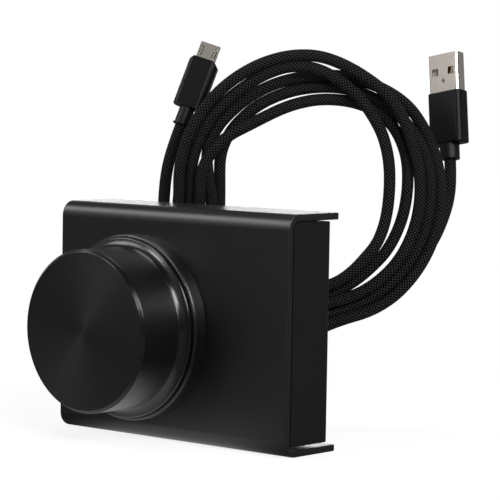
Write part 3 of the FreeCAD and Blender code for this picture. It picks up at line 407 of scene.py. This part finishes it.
def new_group(name, **inputs):
    """An empty node group with named inputs, which puts out a colour, a roughness and a height."""
    tree = bpy.data.node_groups.new(name, "ShaderNodeTree")
    for label, value in inputs.items():
        kind = "NodeSocketColor" if isinstance(value, tuple) else "NodeSocketFloat"
        tree.interface.new_socket(name=label, in_out="INPUT", socket_type=kind).default_value = value
    tree.interface.new_socket(name="Color", in_out="OUTPUT", socket_type="NodeSocketColor")
    for label in ("Roughness", "Height"):
        tree.interface.new_socket(name=label, in_out="OUTPUT", socket_type="NodeSocketFloat")
    return tree, tree.nodes.new("NodeGroupInput").outputs


def put_out(tree, colour, roughness, height):
    """The finished group, with its three results joined to its sockets."""
    out = tree.nodes.new("NodeGroupOutput").inputs
    tree.links.new(colour, out["Color"])
    tree.links.new(roughness, out["Roughness"])
    tree.links.new(height, out["Height"])
    return tree


def toned(tree, given, swing, amount):
    """The given tone, made brighter and darker by a swing."""
    tone = add(tree, "ShaderNodeVectorMath", operation="SCALE")
    tree.links.new(given["Tone"], tone.inputs[0])
    tree.links.new(math_node(tree, "MULTIPLY_ADD", swing, amount, 1.0), tone.inputs["Scale"])
    return tone.outputs[0]


def roughened(tree, given, swing):
    """The given roughness, spread by a swing."""
    return math_node(tree, "MULTIPLY_ADD", swing, given["Spread"], given["Roughness"])


# ------------------------------------------------ effects that the finishes share
def build_grain():
    """Fine even texture of coated or moulded surfaces, with a slow drift of tone."""
    tree, given = new_group(
        "fine_grain", Tone=(0.02, 0.02, 0.02, 1), Drift=0.15, Size=0.2, Roughness=0.4, Spread=0.06)
    place = add(tree, "ShaderNodeTexCoord").outputs["Object"]
    speck = noise(tree, place, {"Detail": 3.0, "Roughness": 0.6})
    tree.links.new(math_node(tree, "DIVIDE", 1 / MM, given["Size"]), speck.inputs["Scale"])
    drift = swing_of(tree, noise(tree, place, {"Scale": 45.0, "Detail": 4.0, "Roughness": 0.55}))
    fine = math_node(tree, "SUBTRACT", speck.outputs["Fac"], 0.5)
    both = math_node(tree, "MULTIPLY_ADD", fine, SPECK_SHARE, drift)
    return put_out(tree, toned(tree, given, drift, given["Drift"]), roughened(tree, given, both),
                   speck.outputs["Fac"])


def build_turning():
    """Fine rings left by the lathe round an axis along Y."""
    tree, given = new_group(
        "lathe_rings", Tone=(0.02, 0.02, 0.02, 1), Contrast=0.3, Pitch=0.25, Roughness=0.35, Spread=0.08)
    apart = separated(tree, add(tree, "ShaderNodeTexCoord").outputs["Object"])
    x = math_node(tree, "SUBTRACT", apart["X"], KNOB_X * MM)
    z = math_node(tree, "SUBTRACT", apart["Z"], KNOB_Z * MM)
    radius = math_node(tree, "SQRT", math_node(tree, "ADD", product(tree, x, x), product(tree, z, z)))
    # rings by radius on faces, and by depth along the axis on walls
    run = math_node(tree, "MULTIPLY_ADD", apart["Y"], WALL_RINGS, radius)
    step = math_node(tree, "DIVIDE", product(tree, run, 1 / MM), given["Pitch"])
    fine = add(tree, "ShaderNodeTexNoise", {"Scale": 1.0, "Detail": 3.0, "Roughness": 0.65},
               noise_dimensions="1D")
    tree.links.new(step, fine.inputs["W"])
    swing = swing_of(tree, fine)
    # the front bevel and the flare are cut last, with a polishing tool
    outer = math_node(tree, "GREATER_THAN", radius, BEVEL_INSIDE * MM)
    front = math_node(tree, "LESS_THAN", apart["Y"], BEVEL_REAR * MM)
    flare = math_node(tree, "GREATER_THAN", radius, FLARE_INSIDE * MM)
    cut = math_node(tree, "MAXIMUM", product(tree, outer, front), flare)
    polish = math_node(tree, "MULTIPLY_ADD", cut, POLISHED - 1.0, 1.0)
    return put_out(tree, toned(tree, given, swing, given["Contrast"]),
                   product(tree, roughened(tree, given, swing), polish), fine.outputs["Fac"])


def build_brushing():
    """Long fine streaks of rolled or brushed sheet, along X, with faint smudges."""
    tree, given = new_group(
        "rolled_streaks", Tone=(0.6, 0.6, 0.6, 1), Contrast=0.12, Roughness=0.3, Spread=0.1)
    place = add(tree, "ShaderNodeTexCoord").outputs["Object"]
    stretch = add(tree, "ShaderNodeMapping", {"Scale": STREAK_STRETCH})
    tree.links.new(place, stretch.inputs["Vector"])
    streak = noise(tree, stretch.outputs[0], {"Scale": 5200.0, "Detail": 3.0, "Roughness": 0.6})
    smudge = noise(tree, place, {"Scale": 260.0, "Detail": 3.0})
    both = math_node(tree, "MULTIPLY_ADD", swing_of(tree, smudge), SMUDGE_SHARE, swing_of(tree, streak))
    return put_out(tree, toned(tree, given, both, given["Contrast"]), roughened(tree, given, both),
                   streak.outputs["Fac"])


def build_braid():
    """Plaited sleeve: bundles of yarn that run round both ways, over and under each other."""
    tree, given = new_group(
        "plaited_sleeve", Yarn=(0.04, 0.04, 0.04, 1), Gap=(0.003, 0.003, 0.003, 1), Bundles=12.0, Lay=1.15)
    apart = separated(tree, add(tree, "ShaderNodeUVMap", uv_map="braid").outputs["UV"])
    girth = 2 * math.pi * CABLE_RADIUS
    along = math_node(tree, "DIVIDE", apart["X"], product(tree, given["Lay"], 2.0))
    around = product(tree, math_node(tree, "DIVIDE", apart["Y"], girth * 2.0), given["Bundles"])
    one = math_node(tree, "ADD", along, around)
    two = math_node(tree, "SUBTRACT", along, around)
    # which of the two bundles is on top, cell by cell
    floors = [math_node(tree, "FLOOR", product(tree, run, 2.0)) for run in (one, two)]
    cells = math_node(tree, "ADD", *floors)
    top = math_node(tree, "GREATER_THAN", math_node(tree, "FLOORED_MODULO", cells, 2.0), 0.5)
    under = math_node(tree, "SUBTRACT", 1.0, top)

    def bulge(run):
        """0 at a bundle's edges, 1 along its middle."""
        return math_node(tree, "ABSOLUTE", math_node(tree, "SINE", product(tree, run, 2 * math.pi)))

    def bundle(shown, across, below):
        """The bundle on top is round across itself and bows over the one below."""
        round_across = math_node(tree, "POWER", across, BUNDLE_ROUNDNESS)
        bow = math_node(tree, "POWER", below, BUNDLE_BOW)
        return product(tree, shown, product(tree, round_across, bow))

    bulge_one = bulge(one)
    bulge_two = bulge(two)
    height = math_node(tree, "ADD", bundle(top, bulge_one, bulge_two), bundle(under, bulge_two, bulge_one))
    shown_run = math_node(tree, "ADD", product(tree, one, top), product(tree, two, under))
    yarns = math_node(tree, "SINE", product(tree, shown_run, 4 * math.pi * YARNS_PER_BUNDLE))
    fibre = math_node(tree, "MULTIPLY_ADD", yarns, YARN_RELIEF, height)
    # painted light: the colour is the yarn tone with a painted sheen at each bundle's crest, and it falls to
    # the near-black gap tone, a painted shade, between the bundles
    lit = math_node(tree, "MULTIPLY_ADD", fibre, SHADE_SLOPE, 1.0 - SHADE_SLOPE)
    shade = math_node(tree, "SMOOTH_MIN", math_node(tree, "MAXIMUM", lit, 0.0), 1.0, SHADE_SOFTNESS)
    tone = add(tree, "ShaderNodeMix", data_type="RGBA")
    tree.links.new(shade, tone.inputs["Factor"])
    tree.links.new(given["Gap"], tone.inputs["A"])
    tree.links.new(given["Yarn"], tone.inputs["B"])
    rough = math_node(tree, "MULTIPLY_ADD", fibre, -CREST_GLOSS, GAP_ROUGHNESS)
    return put_out(tree, tone.outputs["Result"], rough, fibre)


GRAIN = build_grain()
RINGS = build_turning()
STREAKS = build_brushing()
BRAID = build_braid()


# ------------------------------------------------ finishes, one for each material of the object
def finish_material(name, group, values, relief, shader=(), turned=False):
    """A finish: one of the shared effects with its own values, on a Principled shader of its own.
    A turned surface spreads its gloss across the lathe's grooves, which run round an axis along Y."""
    material = bpy.data.materials.new(name)
    material.use_nodes = True
    tree = material.node_tree
    surface = tree.nodes["Principled BSDF"]
    for socket, value in dict(shader).items():
        surface.inputs[socket].default_value = value
    effect = add(tree, "ShaderNodeGroup", values, node_tree=group)
    tree.links.new(effect.outputs["Color"], surface.inputs["Base Color"])
    tree.links.new(effect.outputs["Roughness"], surface.inputs["Roughness"])
    bump = add(tree, "ShaderNodeBump", {"Strength": 1.0, "Distance": relief * MM})
    tree.links.new(effect.outputs["Height"], bump.inputs["Height"])
    tree.links.new(bump.outputs["Normal"], surface.inputs["Normal"])
    if turned:
        grooves = add(tree, "ShaderNodeTangent", direction_type="RADIAL", axis="Y")
        tree.links.new(grooves.outputs["Tangent"], surface.inputs["Tangent"])
    return material


def grey(level, warm=0.0):
    """A neutral tone, or one a little warm or cool."""
    return (level * (1 + warm), level, level * (1 - warm), 1)


METAL = {"Metallic": 1.0}
TURNED_GLOSS = {"Anisotropic": 0.7, "Anisotropic Rotation": 0.25}
FINISHES = {
    "cover_coating": finish_material(
        "satin black anodised sheet", GRAIN,
        {"Tone": grey(0.0022), "Drift": 0.10, "Size": 0.16, "Roughness": 0.37, "Spread": 0.03},
        relief=0.003, shader={"Specular IOR Level": 0.5}),
    "chassis_coating": finish_material(
        "satin black coated sheet", GRAIN,
        {"Tone": grey(0.005), "Drift": 0.10, "Size": 0.2, "Roughness": 0.5, "Spread": 0.04},
        relief=0.005, shader={"Specular IOR Level": 0.12}),
    "black_screw_steel": finish_material(
        "blackened screw steel", GRAIN,
        {"Tone": grey(0.02), "Drift": 0.2, "Size": 0.1, "Roughness": 0.35, "Spread": 0.08},
        relief=0.003),
    "zinc_steel": finish_material(
        "zinc plated steel", STREAKS,
        {"Tone": grey(0.55, -0.02), "Contrast": 0.12, "Roughness": 0.34, "Spread": 0.08},
        relief=0.002, shader=METAL),
    "ring_anodised": finish_material(
        "turned black ring", RINGS,
        {"Tone": grey(0.0022), "Contrast": 0.25, "Pitch": 0.3, "Roughness": 0.5, "Spread": 0.04},
        relief=0.0006, shader=TURNED_GLOSS, turned=True),
    "knob_anodised": finish_material(
        "turned black knob", RINGS,
        {"Tone": grey(0.0025), "Contrast": 0.3, "Pitch": 0.22, "Roughness": 0.33, "Spread": 0.03},
        relief=0.0005, shader=TURNED_GLOSS, turned=True),
    "black_plastic": finish_material(
        "moulded black plastic", GRAIN,
        {"Tone": grey(0.02), "Drift": 0.1, "Size": 0.12, "Roughness": 0.5, "Spread": 0.06},
        relief=0.004),
    "beige_plastic": finish_material(
        "beige moulding", GRAIN,
        {"Tone": (0.5, 0.44, 0.34, 1), "Drift": 0.08, "Size": 0.12, "Roughness": 0.5, "Spread": 0.06},
        relief=0.004),
    "white_plastic": finish_material(
        "white tongue plastic", GRAIN,
        {"Tone": (0.72, 0.71, 0.67, 1), "Drift": 0.05, "Size": 0.12, "Roughness": 0.42, "Spread": 0.05},
        relief=0.003),
    "contact_metal": finish_material(
        "spring sheet", STREAKS,
        {"Tone": (0.68, 0.64, 0.55, 1), "Contrast": 0.1, "Roughness": 0.25, "Spread": 0.08},
        relief=0.001, shader=METAL),
    "shaft_steel": finish_material(
        "ground shaft steel", RINGS,
        {"Tone": grey(0.6), "Contrast": 0.08, "Pitch": 0.1, "Roughness": 0.22, "Spread": 0.05},
        relief=0.0005, shader=METAL),
    "tin_plating": finish_material(
        "tin plated legs", STREAKS,
        {"Tone": grey(0.72), "Contrast": 0.1, "Roughness": 0.3, "Spread": 0.1},
        relief=0.001, shader=METAL),
    "board_green": finish_material(
        "green board lacquer", GRAIN,
        {"Tone": (0.012, 0.10, 0.035, 1), "Drift": 0.25, "Size": 0.5, "Roughness": 0.3, "Spread": 0.06},
        relief=0.01),
    "usb_shell_steel": finish_material(
        "plug shell steel", STREAKS,
        {"Tone": (0.50, 0.465, 0.42, 1), "Contrast": 0.02, "Roughness": 0.2, "Spread": 0.015},
        relief=0.0002, shader=METAL),
    "gold_contact": finish_material(
        "gold plated strips", STREAKS,
        {"Tone": (0.85, 0.58, 0.22, 1), "Contrast": 0.08, "Roughness": 0.2, "Spread": 0.05},
        relief=0.0005, shader=METAL),
    "chip_resin": finish_material(
        "chip resin", GRAIN,
        {"Tone": grey(0.025), "Drift": 0.1, "Size": 0.08, "Roughness": 0.55, "Spread": 0.06},
        relief=0.006),
    "plug_plastic": finish_material(
        "fine matt plug plastic", GRAIN,
        {"Tone": grey(0.003), "Drift": 0.08, "Size": 0.14, "Roughness": 0.38, "Spread": 0.04},
        relief=0.004, shader={"Specular IOR Level": 0.1}),
    "sleeve_plastic": finish_material(
        "soft sleeve plastic", GRAIN,
        {"Tone": grey(0.003), "Drift": 0.1, "Size": 0.14, "Roughness": 0.44, "Spread": 0.04},
        relief=0.004, shader={"Specular IOR Level": 0.16}),
    # its yarn tone holds a painted sheen for the bundles' crests, and its near-black gap tone is painted
    # shade between them
    "cable_braid": finish_material(
        "black plaited yarn", BRAID,
        {"Yarn": grey(0.026), "Gap": grey(0.0001), "Bundles": 9.0, "Lay": 1.25},
        relief=0.3, shader={"Specular IOR Level": 0.06}),
}


def dress_solids():
    """Each solid of the model takes the finish of its own slot."""
    for part in frame["record"]["subparts"]:
        piece = nodes[part["node"]]
        finish = FINISHES[part["material_slot"]]
        if not piece.material_slots:
            piece.data.materials.append(finish)
        for slot in piece.material_slots:
            slot.material = finish


def lay_snap_dome():
    """The switch's dome as a piece of its own, with a mesh of its own; on the real switch the pushed shaft
    flattens it.
    """
    solid = nodes["switch_dome"]
    dome = bpy.data.objects.new("snap_dome", solid.data.copy())
    scene.collection.objects.link(dome)
    dome.matrix_world = solid.matrix_world
    dome.data.materials.clear()
    dome.data.materials.append(FINISHES["contact_metal"])
    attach(dome, "case")
    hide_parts("switch_dome")
    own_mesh(dome)


# ------------------------------------------------ studio
def rays(tree):
    """Masks of what the eye sees, and of what shiny or clear surfaces show."""
    path = add(tree, "ShaderNodeLightPath").outputs
    mirrored = math_node(tree, "MAXIMUM", path["Is Glossy Ray"], path["Is Transmission Ray"])
    return path["Is Camera Ray"], mirrored


def build_world():
    """White to the eye. Shiny faces see it bright low behind the object, pale at half height before it, and
    dark above."""
    world = bpy.data.worlds.new("studio")
    scene.world = world
    world.use_nodes = True
    tree = world.node_tree
    tree.nodes.clear()
    seen, mirrored = rays(tree)
    apart = separated(tree, add(tree, "ShaderNodeTexCoord").outputs["Generated"])
    behind = product(
        tree,
        fade(tree, apart["Y"], start=0.0, end=0.5, low=0.0, high=1.0),
        fade(tree, apart["Z"], start=0.12, end=0.5, low=1.0, high=0.1),
        fade(tree, apart["X"], start=-0.3, end=0.5, low=1.0, high=0.35))
    before = product(
        tree,
        fade(tree, apart["Z"], start=0.0, end=0.2, low=0.0, high=0.42),
        fade(tree, apart["Z"], start=0.42, end=0.7, low=1.0, high=0.0),
        fade(tree, apart["Y"], start=-0.3, end=0.1, low=1.0, high=0.0),
        fade(tree, apart["X"], start=0.5, end=0.7, low=1.0, high=0.15))
    both = math_node(tree, "ADD", behind, before)
    room = add(tree, "ShaderNodeBackground", {"Color": WHITE, "Strength": ROOM_LIGHT})
    glare = add(tree, "ShaderNodeBackground", {"Color": WHITE})
    tree.links.new(math_node(tree, "ADD", both, DARK_GLARE), glare.inputs["Strength"])
    shown = add(tree, "ShaderNodeBackground", {"Color": WHITE, "Strength": 1.0})
    sky = blend(tree, seen, blend(tree, mirrored, room, glare), shown)
    tree.links.new(sky.outputs[0], add(tree, "ShaderNodeOutputWorld").inputs["Surface"])


def build_floor():
    """Pale floor that keeps the shadow near the object, and melts into the white around it."""
    mesh = bpy.data.meshes.new("floor")
    corners = [(-1, -1), (1, -1), (1, 1), (-1, 1)]
    mesh.from_pydata([(x * FLOOR_HALF, y * FLOOR_HALF, 0) for x, y in corners], [], [(0, 1, 2, 3)])
    floor = bpy.data.objects.new("floor", mesh)
    scene.collection.objects.link(floor)
    material = bpy.data.materials.new("pale floor")
    material.use_nodes = True
    tree = material.node_tree
    surface = tree.nodes["Principled BSDF"]
    surface.inputs["Base Color"].default_value = FLOOR_TONE
    surface.inputs["Roughness"].default_value = FLOOR_ROUGHNESS
    surface.inputs["Specular IOR Level"].default_value = 0.0
    seen, mirrored = rays(tree)
    away = add(tree, "ShaderNodeVectorMath", operation="LENGTH")
    tree.links.new(add(tree, "ShaderNodeTexCoord").outputs["Object"], away.inputs[0])
    distance = away.outputs["Value"]
    # to the eye it glows white, all of it away from the object and most of it nearby, where a shadow shows
    white_share = fade(tree, distance, start=0.08, end=0.4, low=0.82, high=1.0)
    mirrored_share = product(tree, mirrored, FLOOR_MIRRORED)
    share = math_node(tree, "MULTIPLY_ADD", seen, white_share, mirrored_share)
    # in shiny faces it is bright right under the object only
    mirrored_glow = fade(tree, distance, start=0.015, end=0.05, low=0.95, high=0.06)
    strength = math_node(tree, "MULTIPLY_ADD", mirrored, mirrored_glow, seen)
    glow = add(tree, "ShaderNodeEmission", {"Color": WHITE})
    tree.links.new(strength, glow.inputs["Strength"])
    pale = blend(tree, share, surface, glow)
    tree.links.new(pale.outputs[0], tree.nodes["Material Output"].inputs["Surface"])
    mesh.materials.append(material)


def hang_lamp(name, place, width, height, power):
    """A soft lamp that faces the object."""
    data = bpy.data.lights.new(name, "AREA")
    data.shape = "RECTANGLE"
    data.size = width
    data.size_y = height
    data.energy = power
    lamp = bpy.data.objects.new(name, data)
    scene.collection.objects.link(lamp)
    lamp.location = place
    lamp.rotation_euler = (Vector(LAMPS_AIM) - Vector(place)).to_track_quat("-Z", "Y").to_euler()


place_camera()
lay_cable(FINISHES["cable_braid"])
dress_solids()
lay_snap_dome()
build_world()
build_floor()
for lamp in LAMPS:
    hang_lamp(*lamp)
scene.view_settings.view_transform = "Standard"
